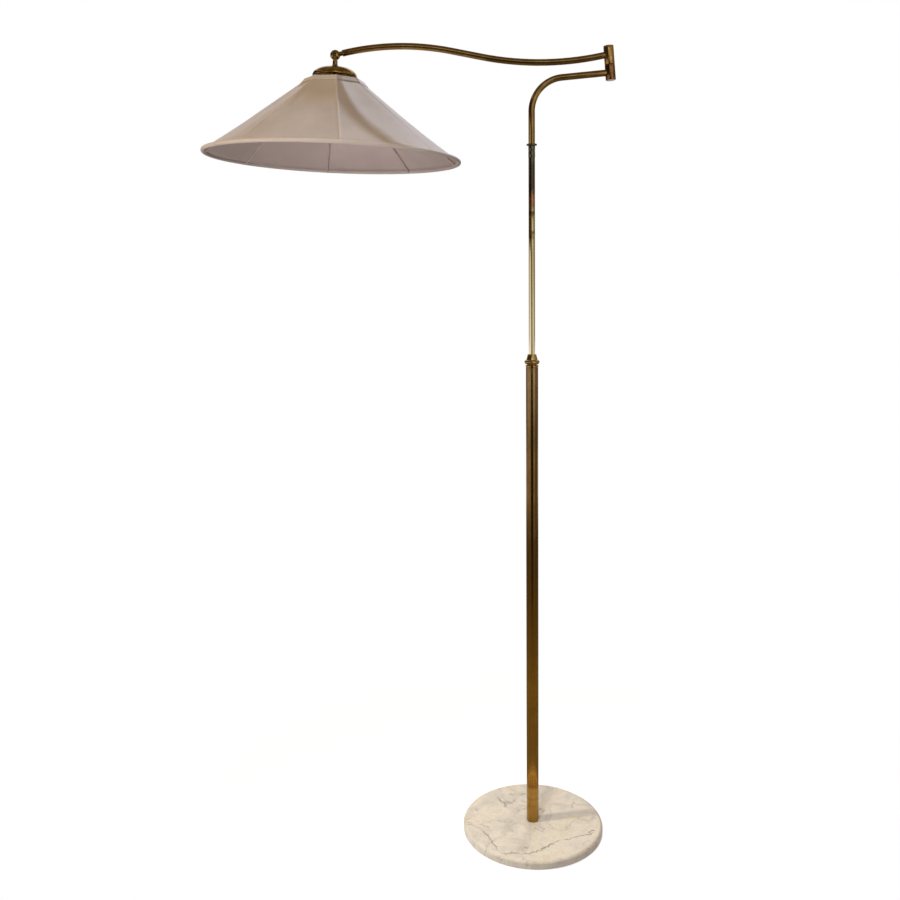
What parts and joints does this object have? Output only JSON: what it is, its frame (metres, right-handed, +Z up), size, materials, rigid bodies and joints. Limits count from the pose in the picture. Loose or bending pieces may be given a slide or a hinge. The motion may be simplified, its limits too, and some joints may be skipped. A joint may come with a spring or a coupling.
{
  "type": "swing arm floor lamp",
  "caption": "Floor lamp with a marble disc base, telescopic brass stem, elbow and curved swing arm, and a wide tilting cloth shade.",
  "frame": {"origin": "centre of the felt's underside, on the floor under the stem's axis", "axes": "+Z up along the stem, +X from the stem to the knuckle, both arms in the XZ plane at rest"},
  "size_m": [0.8215, 0.516, 1.6273],
  "materials": {
    "aged_brass": "aged, polished",
    "bright_brass": "polished, with a dark band of patina",
    "steel": "plain",
    "frame_wire": "painted wire",
    "marble": "honed, with fine grey veins",
    "felt": "pressed felt",
    "shade_cloth": "stretched cloth",
    "black_plastic": "moulded",
    "fibre": "pressed fibre",
    "porcelain": "glazed",
    "bulb_glass": "frosted"
  },
  "bodies": {
    "stand": {"felt_pad": "felt", "marble_base": "marble", "inlet_bush": "black_plastic", "foot_washer": "steel", "foot_nut": "steel", "tie_rod": "steel", "foot_plug": "aged_brass", "outer_tube": "aged_brass", "clamp_ferrule": "aged_brass", "clamp_collet": "aged_brass"},
    "clamp": {"clamp_nut": "aged_brass"},
    "mast": {"inner_tube": "bright_brass", "guide_bush": "aged_brass", "top_sleeve": "aged_brass", "grub_screw": "steel"},
    "lower_arm": {"swivel_washer": "fibre", "swivel_post": "aged_brass", "elbow_tube": "aged_brass", "lower_knuckle": "aged_brass", "knuckle_washer": "fibre", "knuckle_pin": "steel", "pin_washer": "steel", "pin_nut": "steel"},
    "upper_arm": {"upper_knuckle": "aged_brass", "knuckle_cap": "aged_brass", "swing_arm": "aged_brass", "joint_ball": "aged_brass", "pivot_screw": "steel"},
    "head": {"joint_tongue": "aged_brass", "joint_washers": "fibre", "dome_cap": "aged_brass", "dome_washer": "steel", "nipple": "steel", "nipple_nuts": "steel", "shade_spider": "frame_wire", "shade_top_ring": "frame_wire", "shade_ribs": "frame_wire", "shade_rim_ring": "frame_wire", "shade_cover": "shade_cloth", "shade_tape": "shade_cloth", "rim_piping": "shade_cloth", "holder_cap": "aged_brass", "holder_shell": "aged_brass", "holder_insert": "porcelain", "screw_shell": "aged_brass", "centre_contact": "aged_brass", "bulb_cap": "steel", "bulb_globe": "bulb_glass"},
    "key": {"switch_key": "black_plastic"}
  },
  "joints": [
    {"name": "clamp_turn", "type": "hinge", "parent": "stand", "child": "clamp", "pos_m": [0, 0, 0.99125], "axis": [0, 0, 1], "range_deg": [0, 180]},
    {"name": "mast_slide", "type": "slide", "parent": "stand", "child": "mast", "axis": [0, 0, 1], "range_m": [-0.38, 0.085]},
    {"name": "elbow_swivel", "type": "hinge", "parent": "mast", "child": "lower_arm", "pos_m": [0, 0, 1.4223], "axis": [0, 0, 1], "range_deg": [-150, 150]},
    {"name": "arm_swing", "type": "hinge", "parent": "lower_arm", "child": "upper_arm", "pos_m": [0.15411, 0, 1.56151], "axis": [-0.0785, 0, 0.9969], "range_deg": [-170, 170]},
    {"name": "head_tilt", "type": "hinge", "parent": "upper_arm", "child": "head", "pos_m": [-0.3897, 0, 1.60648], "axis": [0.999, 0, -0.0436], "range_deg": [-60, 60]},
    {"name": "key_turn", "type": "hinge", "parent": "head", "child": "key", "pos_m": [-0.39259, 0, 1.54027], "axis": [0.999, 0, -0.0436], "range_deg": [0, 90]}
  ]
}
